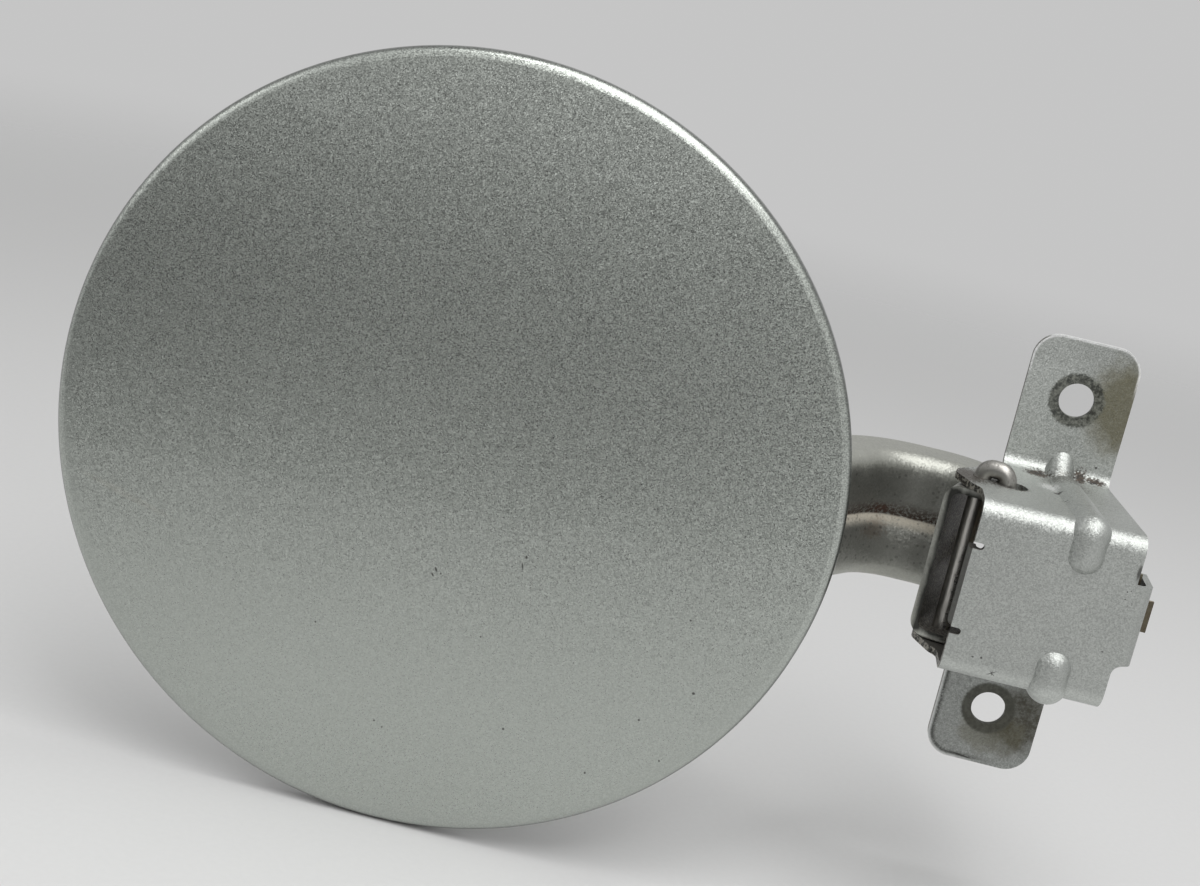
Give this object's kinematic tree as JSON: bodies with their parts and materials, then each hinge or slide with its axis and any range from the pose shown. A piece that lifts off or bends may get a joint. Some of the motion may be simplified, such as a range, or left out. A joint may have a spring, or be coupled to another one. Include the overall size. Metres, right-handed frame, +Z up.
{
  "type": "car fuel door",
  "caption": "Round crowned car fuel door on a stamped gooseneck arm that swings about a hooked hinge pin in a bolt-on sheet steel bracket with a leaf spring.",
  "frame": {"origin": "midway between the two bolt holes, on the back face of the bracket tabs that seats on the car body", "axes": "+X from the lid towards the hinge, +Y into the car, +Z up along the hinge pin; the painted face looks along -Y"},
  "size_m": [0.224, 0.0634, 0.16],
  "materials": {
    "lid_paint": "silver metallic paint under clear coat",
    "inner_paint": "thin silver metallic paint",
    "arm_paint": "thin silver metallic paint, dirty in the groove",
    "bracket_paint": "grainy silver paint, stained at the bolt tabs",
    "pin_steel": "worn plated steel",
    "spring_steel": "oiled spring steel"
  },
  "bodies": {
    "bracket": {"hinge_bracket": "bracket_paint", "hinge_pin": "pin_steel", "leaf_spring": "spring_steel"},
    "door": {"outer_panel": "lid_paint", "inner_panel": "inner_paint", "hinge_arm": "arm_paint", "latch_striker": "inner_paint"}
  },
  "joints": [
    {"name": "door_hinge", "type": "hinge", "parent": "bracket", "child": "door", "pos_m": [-0.0173, -0.0196, 0], "axis": [0, 0, 1], "range_deg": [0, 90]}
  ]
}
